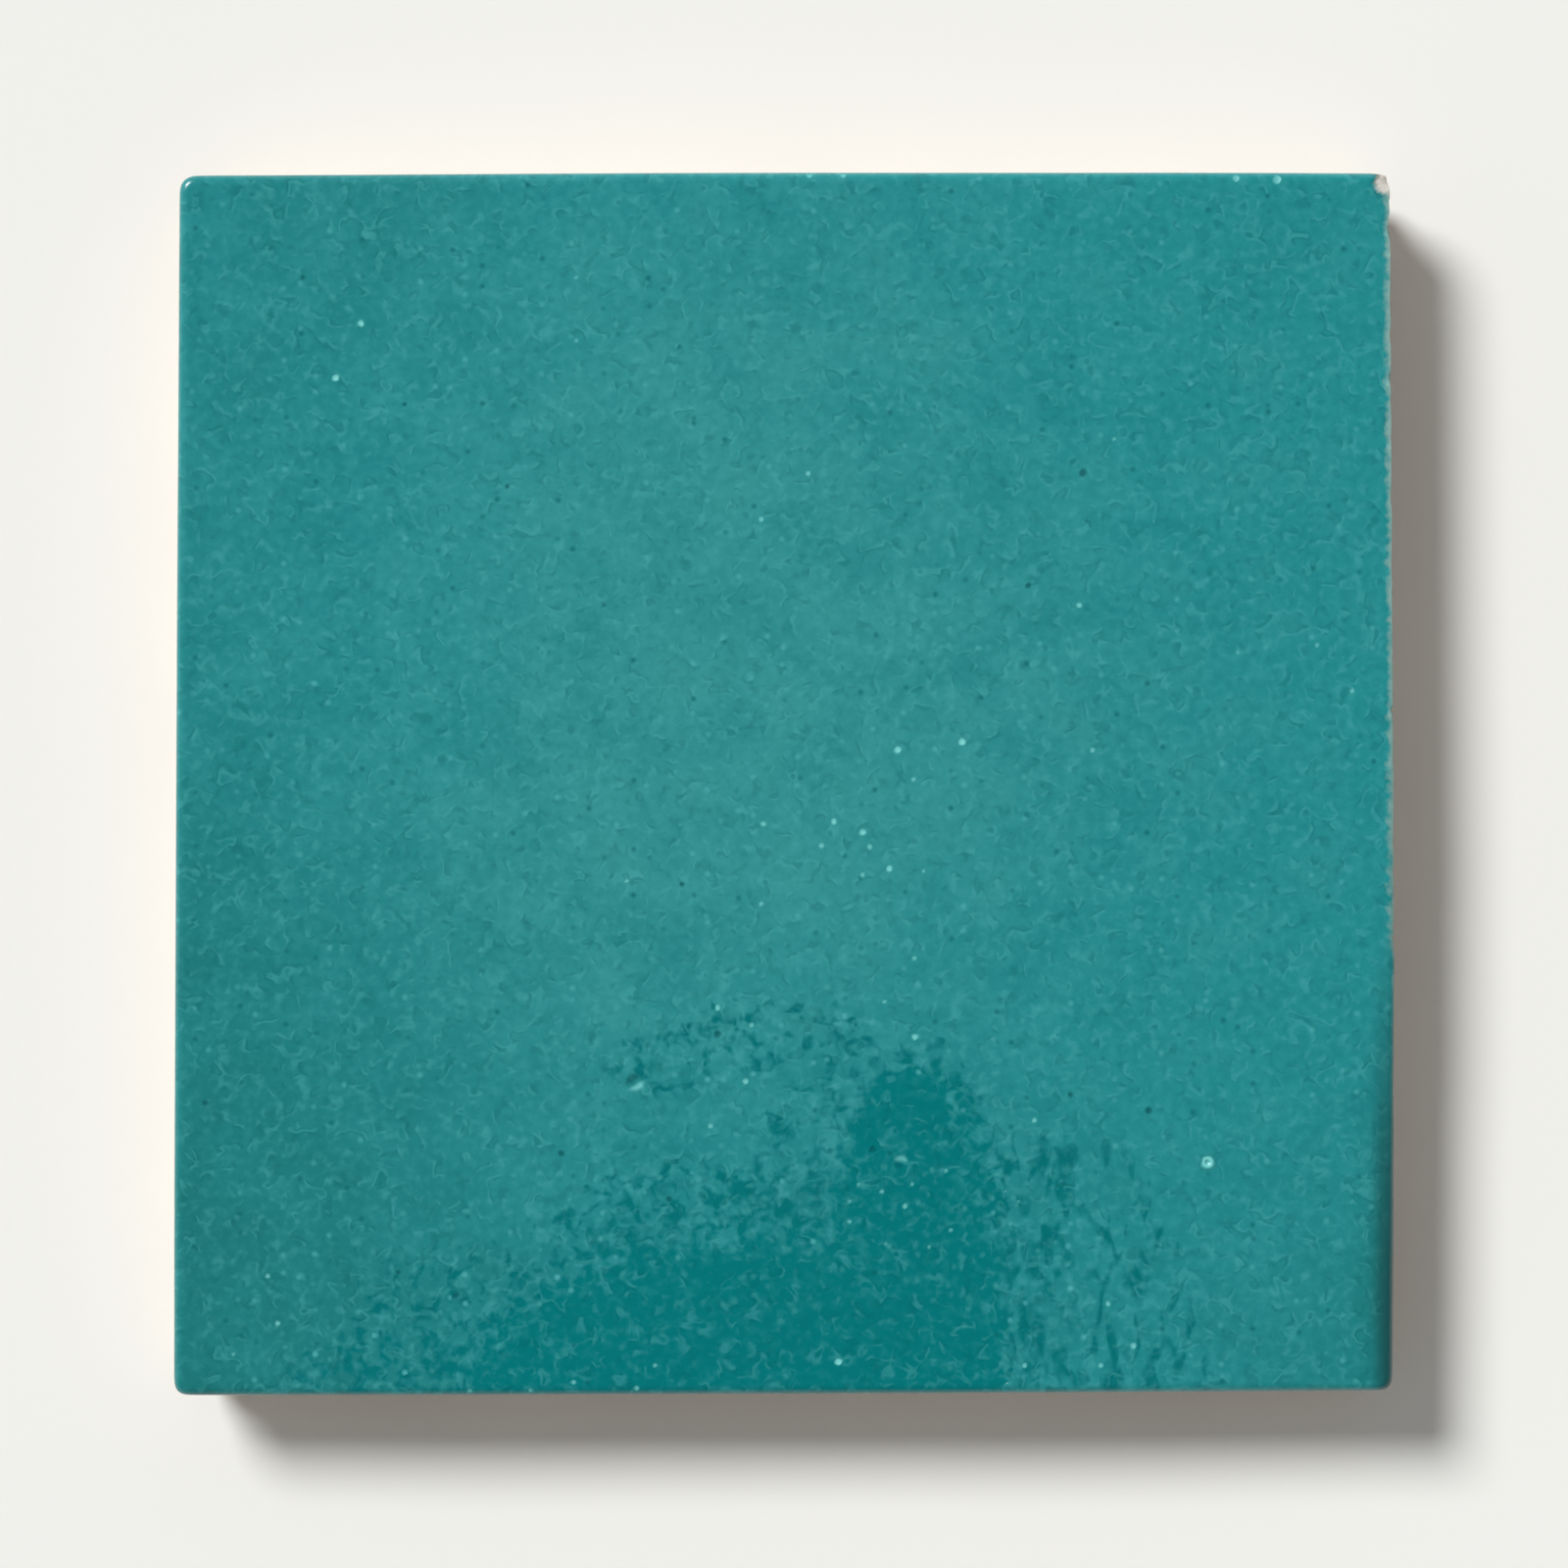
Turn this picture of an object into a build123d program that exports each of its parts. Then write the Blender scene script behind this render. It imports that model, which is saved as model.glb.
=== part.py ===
from build123d import *
import math
import os

# A hand-cut zellige tile: one slab of fired clay, glazed on its face.
# The slab was pressed and trimmed by hand, so its face isn't quite square,
# flat or even. It lies on its back: +X to the right, +Y to the far side,
# +Z out of the glazed face, and the origin is at the middle of the back.

# The face, at its widest line
face_width = 100.6
face_length = 101.0
thickness = 11.0

# How far each corner of the face stands from a true rectangle, as (x, y)
far_left_shift = (0.30, -0.10)
far_right_shift = (-0.05, 0.10)
near_right_shift = (0.20, 0.25)
near_left_shift = (-0.20, -0.15)

# How far the middle of each edge bows out
far_bow = 0.14
near_bow = 0.06
left_bow = 0.05

# The rounding of the pressed corners, seen from above
far_left_radius = 1.3
near_left_radius = 1.0
far_right_radius = 1.8
near_right_radius = 0.95

# The glazed face is crowned and gently uneven, and glaze rolls over its edge
crown_height = 0.30
swell_height = 0.09
swell_length = 46.0
glaze_roll = 0.7

# Under the glaze an upright land stays, and below it the hammer has cut the
# flanks back. The right flank was trimmed at a slant after firing: its edge is
# crisp from the far end, and keeps its glaze roll where the cut runs out.
land_height = 2.6
side_taper = 0.9
trim_allowance = 0.9
trim_runout = 0.3
trim_taper = 0.75

# The hollow of each hammer stroke, deepest at the back
stroke_spacing = 7.4
stroke_depth = 0.62
stroke_unevenness = 0.7
stroke_wander = 0.55

# The broken corner, and the small nicks of the crisp right edge
corner_chip_reach = 1.25
corner_chip_radius = 2.2
nick_radius = 0.75
nick_depth = 0.24
nick_places = (45.6, 33.5, 5.8, -21.0)

# Numbers of the construction itself
face_points = 9
overshoot = 6.0
clearance = 0.3
golden_step = 0.618


def corner_points(inset, far_trim, near_trim):
    """The corners of the outline, clockwise from far left.

    They are drawn in by inset, but for the right corners, whose distances
    beyond the finished right edge are far_trim and near_trim.
    """
    left = -face_width / 2 + inset
    right = face_width / 2
    far = face_length / 2 - inset
    return (
        Vector(left + far_left_shift[0], far + far_left_shift[1]),
        Vector(right + far_right_shift[0] + far_trim, far + far_right_shift[1]),
        Vector(right + near_right_shift[0] + near_trim, -far + near_right_shift[1]),
        Vector(left + near_left_shift[0], -far + near_left_shift[1]),
    )


def sides(inset, far_trim, near_trim):
    """Each side of the outline, as (start, end, bow), clockwise."""
    corners = corner_points(inset, far_trim, near_trim)
    bows = (far_bow, 0.0, near_bow, left_bow)
    return [(corners[i], corners[(i + 1) % 4], bows[i]) for i in range(4)]


def outward(start, end):
    """The direction out of the tile across a side."""
    along = (end - start).normalized()
    return Vector(-along.Y, along.X)


def side_point(side, share):
    """The point of a bowed side at a share of its length."""
    start, end, bow = side
    bulge = 4 * bow * share * (1 - share)
    return start + (end - start) * share + outward(start, end) * bulge


def arc_or_line(start, middle, end, is_bent):
    """An arc through the middle where the edge is bent, and else a line."""
    return ThreePointArc(start, middle, end) if is_bent else Line(start, end)


def pressed_outline():
    """The outline of the slab before the hammer cut it, as a face."""
    plan = make_face([
        arc_or_line(side[0], side_point(side, 0.5), side[1], side[2] != 0)
        for side in sides(0, trim_allowance, 0)
    ])
    roundings = (far_left_radius, far_right_radius, near_right_radius, near_left_radius)
    for corner, radius in zip(corner_points(0, trim_allowance, 0), roundings):
        plan = fillet(plan.vertices().sort_by_distance(corner)[0], radius)
    return plan


def face_height(x, y):
    """The height of the glazed face over a point of the plan."""
    half_width = face_width / 2
    crown = crown_height * (x * x + y * y) / half_width**2
    turn = 2 * math.pi / swell_length
    swell = swell_height * math.sin(turn * (x + 0.4 * y)) * math.cos(turn * 0.8 * y + 0.9)
    return thickness - crown + swell


def space_above_face():
    """All that lies above the crowned, uneven glazed face."""
    reach_x = face_width / 2 + trim_allowance + overshoot
    reach_y = face_length / 2 + overshoot
    steps = [2 * i / (face_points - 1) - 1 for i in range(face_points)]
    rows = [
        [Vector(u * reach_x, v * reach_y, face_height(u * reach_x, v * reach_y)) for u in steps]
        for v in steps
    ]
    surface = Face.make_surface_from_array_of_points(rows)
    return extrude(surface, amount=overshoot, dir=(0, 0, 1))


def glazed_slab():
    """The pressed, glazed and fired slab, with its rolled edge all round."""
    slab = extrude(pressed_outline(), amount=thickness + swell_height) - space_above_face()
    rim = slab.faces().sort_by(Axis.Z)[-1].outer_wire().edges()
    return fillet(rim, glaze_roll)


def uneven(count):
    """A number from 0 to 1 that wanders from one stroke to the next."""
    return (count * golden_step) % 1


def struck_outline(height):
    """The line that the hammer strokes leave at a height, as a face."""
    top = thickness + clearance
    fade = 1 - height / top
    inset = side_taper * (1 - height / (thickness - land_height))
    lean = trim_taper * (height / thickness - 1)
    edges = []
    for index, side in enumerate(sides(inset, lean, lean + trim_runout)):
        length = face_width if index in (0, 2) else face_length
        strokes = round(length / stroke_spacing)
        shares = [0.0]
        for ridge in range(1, strokes):
            wander = stroke_wander * (uneven(2 * ridge + index) - 0.5) * fade
            shares.append((ridge + wander) / strokes)
        shares.append(1.0)
        for stroke in range(strokes):
            start = side_point(side, shares[stroke])
            end = side_point(side, shares[stroke + 1])
            depth = stroke_depth * (1 - stroke_unevenness * uneven(stroke * 3 + index)) * fade
            middle = (start + end) / 2 - outward(start, end) * depth
            edges.append(arc_or_line(start, middle, end, height < top))
    return Pos(0, 0, height) * make_face(edges)


def struck_form():
    """The form that the hammer leaves: hollowed flanks that lean in to the back."""
    return loft([struck_outline(-clearance), struck_outline(thickness + clearance)], ruled=True)


def corner_chip():
    """The shell-shaped chip that broke off the far right corner."""
    corner = corner_points(0, 0, trim_runout)[1]
    away = Vector(1, 1, 1).normalized()
    half = corner_chip_reach * away.X
    distance = math.sqrt(half**2 + corner_chip_radius**2 - corner_chip_reach**2) - half
    centre = Vector(corner.X, corner.Y, face_height(corner.X, corner.Y)) + away * distance
    return Pos(*centre) * Sphere(corner_chip_radius)


def edge_nicks():
    """The small nicks where glaze broke away from the crisp right edge."""
    right_side = sides(0, 0, trim_runout)[1]
    stand_off = (nick_radius - nick_depth) / math.sqrt(2)
    nicks = []
    for y in nick_places:
        edge = side_point(right_side, 0.5 - y / face_length)
        height = face_height(edge.X, edge.Y)
        nicks.append(Pos(edge.X + stand_off, edge.Y, height + stand_off) * Sphere(nick_radius))
    return nicks


def tile():
    """The finished tile, set with the middle of its back at the origin."""
    cut = (glazed_slab() & struck_form()) - corner_chip() - edge_nicks()
    box = cut.bounding_box()
    return Pos(-box.center().X, -box.center().Y, -box.min.Z) * cut


os.makedirs("parts", exist_ok=True)
export_step(tile(), "parts/tile.step")
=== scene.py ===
"""A hand-cut, glazed zellige tile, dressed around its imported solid, on a plain pale stage."""
import math

import bmesh
import bpy
import numpy as np
from mathutils import Euler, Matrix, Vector, noise
from mathutils.bvhtree import BVHTree
from mathutils.kdtree import KDTree


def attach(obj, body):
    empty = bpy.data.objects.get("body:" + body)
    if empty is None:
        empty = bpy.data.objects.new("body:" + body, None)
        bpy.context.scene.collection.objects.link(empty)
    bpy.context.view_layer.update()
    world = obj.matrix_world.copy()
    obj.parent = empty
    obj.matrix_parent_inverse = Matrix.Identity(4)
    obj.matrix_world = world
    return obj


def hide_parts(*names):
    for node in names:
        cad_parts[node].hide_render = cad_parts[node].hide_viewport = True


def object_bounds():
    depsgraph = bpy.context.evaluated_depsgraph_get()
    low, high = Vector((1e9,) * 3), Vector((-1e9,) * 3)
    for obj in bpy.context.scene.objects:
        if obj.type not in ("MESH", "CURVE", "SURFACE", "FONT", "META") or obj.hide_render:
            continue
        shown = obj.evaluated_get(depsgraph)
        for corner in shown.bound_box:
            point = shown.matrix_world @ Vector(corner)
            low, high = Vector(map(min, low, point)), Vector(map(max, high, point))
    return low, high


bl_info = {
    "name": "Zellige tile",
    "version": (1, 0, 0),
    "blender": (4, 5, 0),
    "location": "3D View > Sidebar > Tile",
    "description": "A hand-cut, glazed zellige tile on a plain pale stage",
    "category": "Object",
}

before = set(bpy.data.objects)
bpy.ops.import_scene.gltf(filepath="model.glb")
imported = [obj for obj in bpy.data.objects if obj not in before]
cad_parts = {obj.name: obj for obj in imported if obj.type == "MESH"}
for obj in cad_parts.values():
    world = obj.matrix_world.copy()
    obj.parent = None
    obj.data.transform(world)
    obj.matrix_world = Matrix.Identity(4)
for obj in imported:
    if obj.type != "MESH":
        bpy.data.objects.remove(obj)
cad_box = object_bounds()

# The tile is shaped in millimetres, and its mesh is brought to metres at the end
MM = 0.001
UP = Vector((0, 0, 1))
DOWN = Vector((0, 0, -1))

# The band along the edges where the square grid is fitted to the real outline
EDGE_BAND = 3.0
SMOOTHING_ROUNDS = 8

# The skin's lines around the edge: by angle over the arris, then by height
ARRIS_ANGLES = (35.0, 37.5, 39.5, 41.5, 43.2, 44.4, 45.0, 45.6, 46.8, 48.5, 50.5, 52.5, 55.5)
ARRIS_MIDDLE = 45.0
ARRIS_SMOOTHING = 3
FLANK_RINGS = 22
BACK_RINGS = (0.03, 0.09, 0.2, 0.38, 0.6)

# Where the solid is felt for: on the upright land, just under the face, on the face inwards
# of its edge, and just above the back
LAND_HEIGHT = 9.6
UNDER_FACE = 0.08
FACE_INSET = 2.0
ABOVE_BACK = 0.02

# How far the face's edge stands back from the land where it is rolled, and no longer crisp
FULL_ROLL = 0.37

# The waves of the melted glaze, as (height, length, seed), in shares of the ripple's height
RIPPLES = ((0.7, 19.0, 3.1), (0.8, 8.0, 11.3), (0.3, 3.4, 5.7))

# How unevenly the glaze ran down, given in the same way, in shares of its run
RUN_WAVES = ((0.45, 13.0, 2.2), (0.3, 3.1, 7.4))

# The longer drips: how much they lengthen with the noise, how far apart they are, and how rare
DRIP_LENGTH = 6.5
DRIP_SPACING = 5.5
DRIP_RARITY = 0.32

# The small bites along a crisp edge, and the worn line that it shows
BITE_SPACING = 1.5
BITE_WIDTH = 0.6
BITE_DEPTH = 0.16
WORN_WIDTH = 0.65

# How far the bare clay stands back under the glaze, and how much an upright corner is blunted
CLAY_SETBACK = 0.1
CORNER_BLUNTING = 1.2

# The depth of the shallowest flake and the reach of each, as shares, and the size of the grit
LEAST_FLAKE = 0.3
FLAKE_REACH = 0.85
GRIT_SIZE = 2.0

# The face sinks towards the near end of the right edge, over this width and depth
SINK_WIDTH = 3.2
SINK_DEPTH = 0.62
SINK_FROM = -14.0
SINK_FULL = -30.0

# There the glaze is painted darker, as painted shade drawn as glaze gathered thick and dark, more and
# more from here outwards and nearwards
ROLL_SHADE_INNER = 48.3
ROLL_SHADE_OUTER = 50.0
ROLL_SHADE_FROM = -5.0
ROLL_SHADE_FULL = -44.0

# How deep the bowl of each kind of mark is, as a share of its radius
BOWL_DEPTHS = {"pinhole": 0.12, "nick": 0.15, "pit": 0.1, "speck": 0.12}

# The marks lie above this height, and the mesh is cut finer around each, out to these reaches
MARKS_ABOVE = 7.6
FINE_SHARE = 1.5
FINE_MARGIN = 0.3

# Pinholes, where gas left the glaze as it melted, as (x, y, radius)
PINHOLES = (
    (-35.0, 38.1, 0.26), (-37.1, 33.6, 0.27), (-17.2, 41.9, 0.14), (-17.2, 36.7, 0.15),
    (-1.9, 21.9, 0.2), (2.0, 25.7, 0.2), (27.3, 28.5, 0.15), (24.4, 14.8, 0.22),
    (44.1, 11.5, 0.16), (37.5, 10.9, 0.14), (47.0, 7.7, 0.18), (9.4, 2.8, 0.27),
    (14.7, 3.5, 0.28), (10.7, 0.4, 0.18), (25.5, 2.8, 0.18), (4.1, -3.1, 0.24),
    (6.5, -4.0, 0.25), (3.1, -5.1, 0.2), (7.1, -5.2, 0.2), (6.5, -7.5, 0.18),
    (8.7, -7.0, 0.25), (11.5, -7.2, 0.16), (-1.7, -3.3, 0.2), (-1.9, -9.9, 0.18),
    (-13.0, -8.0, 0.17), (-5.5, -18.5, 0.22), (-2.7, -19.9, 0.18), (10.8, -14.4, 0.18),
    (8.3, -18.0, 0.17), (10.8, -20.9, 0.24), (-6.1, -28.3, 0.18), (-3.2, -24.6, 0.22),
    (20.7, -27.8, 0.2), (26.8, -43.0, 0.2), (28.9, -46.5, 0.22), (19.9, -48.1, 0.2),
    (26.2, -48.1, 0.2), (10.0, -34.9, 0.2), (10.6, -33.1, 0.16), (8.1, -33.7, 0.17),
    (6.2, -33.1, 0.15), (13.4, -32.0, 0.16), (5.4, -36.2, 0.18), (-42.7, -40.7, 0.19),
    (-41.9, -44.6, 0.2), (-45.6, -47.2, 0.14), (4.5, -47.8, 0.28), (-17.4, -49.5, 0.19),
    (-26.0, -50.2, 0.17), (-21.0, -50.2, 0.17), (-12.2, -50.0, 0.2), (-10.7, -48.1, 0.17),
    (13.8, -36.9, 0.17), (12.0, -38.3, 0.15), (5.4, -34.5, 0.14), (8.4, -38.0, 0.14),
)

# Pale nicks along the edges, where the glaze is chipped thin, as (x, y, radius)
EDGE_NICKS = (
    (2.1, 50.4, 0.26), (4.9, 50.4, 0.22), (37.4, 50.1, 0.28), (40.8, 50.0, 0.36),
    (49.95, 45.6, 0.34), (50.0, 43.9, 0.28), (50.0, 33.2, 0.32), (50.1, 28.0, 0.28),
    (50.2, 5.8, 0.28),
)

# Burst bubbles, each a crater in a raised pale ring, as (x, y, radius)
BUBBLES = ((35.0, -31.3, 0.5),)

# Shallow pits in the glaze, with painted light on one wall and painted shade on the other, as (x, y,
# radius, bearing of the pale wall)
PITS = ((-12.3, -24.7, 0.75, -60.0), (9.6, -31.3, 0.55, 80.0))

# Dark specks of iron in the glaze, as (x, y, radius)
SPECKS = (
    (24.7, 25.7, 0.34), (20.2, 16.4, 0.26), (-18.4, -30.6, 0.28), (-8.4, -8.3, 0.22),
    (30.2, -27.0, 0.3), (23.7, -25.7, 0.22), (-9.5, -34.3, 0.22), (-27.1, -42.3, 0.24),
    (-31.9, -40.4, 0.2), (-47.9, -26.4, 0.22), (-5.5, -20.7, 0.3), (-22.9, 24.6, 0.2),
    (-31.4, 31.4, 0.2), (-39.8, 41.9, 0.22), (7.3, -30.2, 0.3),
)

# The fresh break at the far right corner, as (x, y, radius)
CORNER_BREAK = (49.85, 49.95, 0.95)

# Where the glaze lies thick and clear and shows its own dark colour without the painted sheen, as (x,
# y, half width, half length, fullness)
POOLS = ((-1.0, -54.0, 29.0, 18.5, 1.08), (11.0, -38.5, 8.4, 16.5, 0.94),
         (14.0, -43.0, 5.0, 8.0, 1.1), (10.0, -27.0, 3.8, 3.6, 1.2))

# Its broken outskirts, given in the same way
OUTSKIRTS = (
    (20.0, -43.0, 7.0, 15.0, 0.52), (25.0, -46.0, 10.0, 16.0, 0.44), (-31.0, -50.0, 11.0, 6.0, 0.56),
    (-10.0, -23.0, 5.0, 3.0, 0.44), (-4.0, -21.0, 5.0, 3.4, 0.47), (3.0, -20.5, 5.0, 3.0, 0.42),
    (3.0, -30.0, 5.0, 6.0, 0.52), (-6.0, -36.5, 14.0, 5.5, 0.56), (-26.0, -43.0, 10.0, 5.0, 0.44),
)

# The pool thins out across its right edge, between these two places, by this share
POOL_THINS_FROM = 16.0
POOL_THINS_TO = 20.6
POOL_THINNED = 0.6

# Beyond that edge its flecks are drawn out into streaks. Their line wanders inwards of the
# first value, by up to the second.
STREAKS_FROM = 22.0
STREAKS_WANDER = 8.0

# The milky film on the glaze together with painted sheen, the reflection of a broad soft light, as
# (x, y, radius, strength)
FILM_AND_SHEEN_CLOUDS = (
    (-2.0, 0.0, 22.0, 0.6), (-14.0, 26.0, 20.0, 0.42), (-22.0, -12.0, 16.0, 0.3),
    (4.0, 40.0, 18.0, 0.22), (24.0, 8.0, 18.0, 0.22), (-46.0, 8.0, 12.0, 0.1),
)

# Painted shade on the glaze: darker towards the left, in the corners and along the lower right edge,
# and a darker tone around the pool, given in the same way
SHADE_CLOUDS = (
    (-52.0, -46.0, 30.0, 0.9), (-53.0, -8.0, 18.0, 0.5), (-54.0, 26.0, 16.0, 0.35),
    (-36.0, 50.0, 14.0, 0.4), (10.0, -38.0, 16.0, 0.3), (46.0, -46.0, 14.0, 0.35),
    (14.0, 18.0, 12.0, 0.1), (52.0, -23.0, 3.4, 0.5), (52.0, -30.0, 3.6, 0.9),
    (52.0, -37.0, 3.6, 0.9), (52.0, -44.0, 3.6, 0.9), (52.0, -49.0, 3.0, 0.5),
)

# The glaze is a dense glass. Its roughness where it is clouded, where it is clear, and around
# a pinhole
GLAZE_IOR = 1.55
CLOUDED_ROUGHNESS = 0.22
CLEAR_ROUGHNESS = 0.08
PINHOLE_ROUGHNESS = 0.4

# The roughness of the clay where it was struck, and in a fresh break
CLAY_ROUGHNESS = 0.9
FRESH_CLAY_ROUGHNESS = 0.85

# Which part of the endless patterns the tile shows
PATTERN_SHIFT = (0.31, 0.17, 0.23)

# How far the floor reaches each way, in metres
FLOOR_REACH = 4.0


def linear(code):
    """The linear colour of an sRGB hex code."""
    def channel(text):
        share = int(text, 16) / 255
        return share / 12.92 if share <= 0.04045 else ((share + 0.055) / 1.055) ** 2.4
    return tuple(channel(code[i:i + 2]) for i in (0, 2, 4)) + (1.0,)


def colour_of(name, description, code):
    """A colour that a user may change."""
    return bpy.props.FloatVectorProperty(
        name=name, description=description, subtype="COLOR", size=4, min=0, max=1,
        default=linear(code),
    )


def length_of(name, description, millimetres):
    """A length that a user may change."""
    return bpy.props.FloatProperty(
        name=name, description=description, subtype="DISTANCE", unit="LENGTH",
        min=0, precision=5, default=millimetres * MM,
    )


class TileShape(bpy.types.PropertyGroup):
    """The sizes of the tile's fine relief."""
    face_cells: bpy.props.IntProperty(
        name="Face cells", description="Cells of the face's mesh along a side", default=216, min=60)
    ripple_height: length_of("Ripple height", "How far the melted glaze rises and sinks", 0.06)
    glaze_run: length_of("Glaze run", "How far the glaze ran down the rolled edges", 1.5)
    glaze_thickness: length_of("Glaze thickness", "The thickness of the glaze layer", 0.33)
    flake_size: length_of("Flake size", "The width of a flake that the hammer broke off", 4.2)
    flake_depth: length_of("Flake depth", "The depth of such a flake", 0.6)
    grit_depth: length_of("Grit depth", "The depth of the broken clay's grit", 0.1)


class TileFinish(bpy.types.PropertyGroup):
    """The colours of the glaze and the clay."""
    clear: colour_of("Even glaze", "Glaze with hardly any film", "1f8c8f")
    # Partly a milky film, and partly painted sheen, the reflection of a broad soft light
    film: colour_of("Milky glaze", "Glaze under its milky film", "389494")
    # Painted shade, laid where the glaze is darker towards the left, in the corners and along the
    # lower right edge
    shade: colour_of("Dark glaze", "Glaze where it looks darker", "1a7979")
    # The glaze's own dark colour, where the painted sheen is left out
    pool: colour_of("Clear pool", "Glaze where it lies thick and clear", "00777a")
    # Painted sheen on the crests of the melt's waves and painted highlight on its folds; also the
    # pale dots
    crest: colour_of("Crest", "The crests of the small waves in the glaze", "52b2b4")
    # Also painted shade in the troughs of the melt's waves
    trough: colour_of("Trough", "The troughs between those waves", "04686b")
    # Painted shade on the dark side of a fold
    deep: colour_of("Deep fold", "The dark side of a fold in the melt", "00595c")
    # Painted shade along the lower right edge, drawn as glaze gathered thick on the rolled edge
    thick: colour_of("Thick glaze", "Glaze that gathered thick on a rolled edge", "195658")
    # Also painted light on the lit wall of a pit
    bubble: colour_of("Pinhole", "Pale glass around a pinhole", "7ad8d4")
    thin: colour_of("Thin glaze", "Glaze thin over the clay, along lips and edges", "86aca6")
    # Also painted shade on the dark wall of a pit
    speck: colour_of("Iron speck", "Dark specks in the glaze", "00575c")
    clay: colour_of("Fired clay", "The clay where it was struck", "cfbba4")
    # Also painted shade in the clay's pores
    clay_dark: colour_of("Dark clay", "Sandy and smoked parts of the clay", "b39c84")
    clay_fresh: colour_of("Fresh clay", "The clay in a fresh break", "d4cfc7")


class StageLook(bpy.types.PropertyGroup):
    """The floor, the lights and the camera."""
    floor: colour_of("Floor", "The plain pale floor", "f0f0ec")
    lens: bpy.props.FloatProperty(
        name="Lens", description="Focal length of the camera in millimetres", default=180, min=20)
    filled: bpy.props.FloatProperty(
        name="Filled", description="Share of the picture's width that the tile fills",
        subtype="FACTOR", default=0.78, min=0.1, max=1)
    fill: bpy.props.FloatProperty(
        name="Fill", description="Share of the light that comes from all round",
        subtype="FACTOR", default=0.28, min=0, max=1)
    key_height: bpy.props.FloatProperty(
        name="Key height", description="Height of the key light above the horizon",
        subtype="ANGLE", default=math.radians(45.5))
    key_size: bpy.props.FloatProperty(
        name="Key size", description="Angle that the key light spans, for soft shadows",
        subtype="ANGLE", default=math.radians(21))


def smooth_share(value, low, high):
    """0 below low, 1 above high, and a smooth way between."""
    share = min(max((value - low) / (high - low), 0.0), 1.0)
    return share * share * (3 - 2 * share)


def wander(point, size, seed):
    """A number from about -1 to 1 that wanders over the given size."""
    return noise.noise(point / size + Vector((seed, seed * 0.7, seed * 1.3)))


def waves(point, sizes):
    """Waves of several sizes at a point, added up."""
    return sum(height * wander(point, length, seed) for height, length, seed in sizes)


def cloudiness(clouds, x, y):
    """The strength of soft clouds at a point of the face, from 0 to 1."""
    strength = 0.0
    for cloud_x, cloud_y, radius, amount in clouds:
        distance = math.hypot(x - cloud_x, y - cloud_y) / radius
        strength += amount * math.exp(-distance * distance)
    return min(strength, 1.0)


def fullness(pools, x, y):
    """How full the pools stand around a point of the face, from 0 to 1."""
    most = 0.0
    for pool_x, pool_y, half_width, half_length, full in pools:
        distance = math.hypot((x - pool_x) / half_width, (y - pool_y) / half_length)
        most = max(most, full * smooth_share(1.3 - distance, 0.0, 0.6))
    return most


class Shell:
    """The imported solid's surface, in millimetres, to fit the skin to."""

    def __init__(self, solid_object):
        solid = bmesh.new()
        solid.from_mesh(solid_object.data)
        bmesh.ops.transform(solid, matrix=solid_object.matrix_world, verts=solid.verts)
        bmesh.ops.remove_doubles(solid, verts=solid.verts, dist=0.001 * MM)
        bmesh.ops.scale(solid, vec=(1 / MM,) * 3, verts=solid.verts)
        self.tree = BVHTree.FromBMesh(solid)
        places = [vert.co for vert in solid.verts]
        self.low = Vector([min(place[axis] for place in places) for axis in range(3)])
        self.high = Vector([max(place[axis] for place in places) for axis in range(3)])
        solid.free()

    def height(self, x, y):
        """The height of the face over a point."""
        return self.tree.ray_cast(Vector((x, y, self.high.z + 1)), DOWN)[0].z

    def reach(self, anchor, out, z):
        """How far out of an anchor the flank stands at a height."""
        far = 3 * EDGE_BAND
        start = Vector((anchor.x, anchor.y, z)) + out * far
        hit, _, _, gone = self.tree.ray_cast(start, -out, far)
        return far - gone if hit else None


class Column:
    """One line of the skin, from the face over the arris and down the flank."""

    def __init__(self, shell, anchor, out):
        self.shell = shell
        self.anchor = anchor
        self.out = out
        land = shell.reach(anchor, out, LAND_HEIGHT) or EDGE_BAND
        inner = anchor + out * (land - FACE_INSET)
        self.top = shell.height(inner.x, inner.y)
        rim = shell.reach(anchor, out, self.top - UNDER_FACE) or land - FULL_ROLL
        self.edge = max(land, rim)
        self.crisp = 1 - smooth_share(land - rim, 0.0, FULL_ROLL)
        self.start = self.arris_point(ARRIS_ANGLES[0])
        self.rise = 0.0

    def arris_point(self, angle):
        """The solid's point at an angle over the arris, seen from inside the tile."""
        focus = Vector((self.anchor.x, self.anchor.y, self.top - self.edge))
        turn = math.radians(angle)
        return self.shell.tree.ray_cast(focus, self.out * math.sin(turn) + UP * math.cos(turn))[0]

    def line(self):
        """The point of the tile's outline on this column, at no height."""
        point = self.anchor + self.out * self.edge
        return Vector((point.x, point.y, 0))


def fitted_anchor(point, shell):
    """The point of the inner rectangle that a point of the square grid belongs to."""
    return Vector((
        min(max(point.x, shell.low.x + EDGE_BAND), shell.high.x - EDGE_BAND),
        min(max(point.y, shell.low.y + EDGE_BAND), shell.high.y - EDGE_BAND),
        0,
    ))


def ring_place(i, j, cells):
    """The place of a border point of the grid, counted once round."""
    if j == 0 and i < cells:
        return i
    if i == cells and j < cells:
        return cells + j
    if j == cells and i > 0:
        return 2 * cells + (cells - i)
    return 3 * cells + (cells - j)


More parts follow.
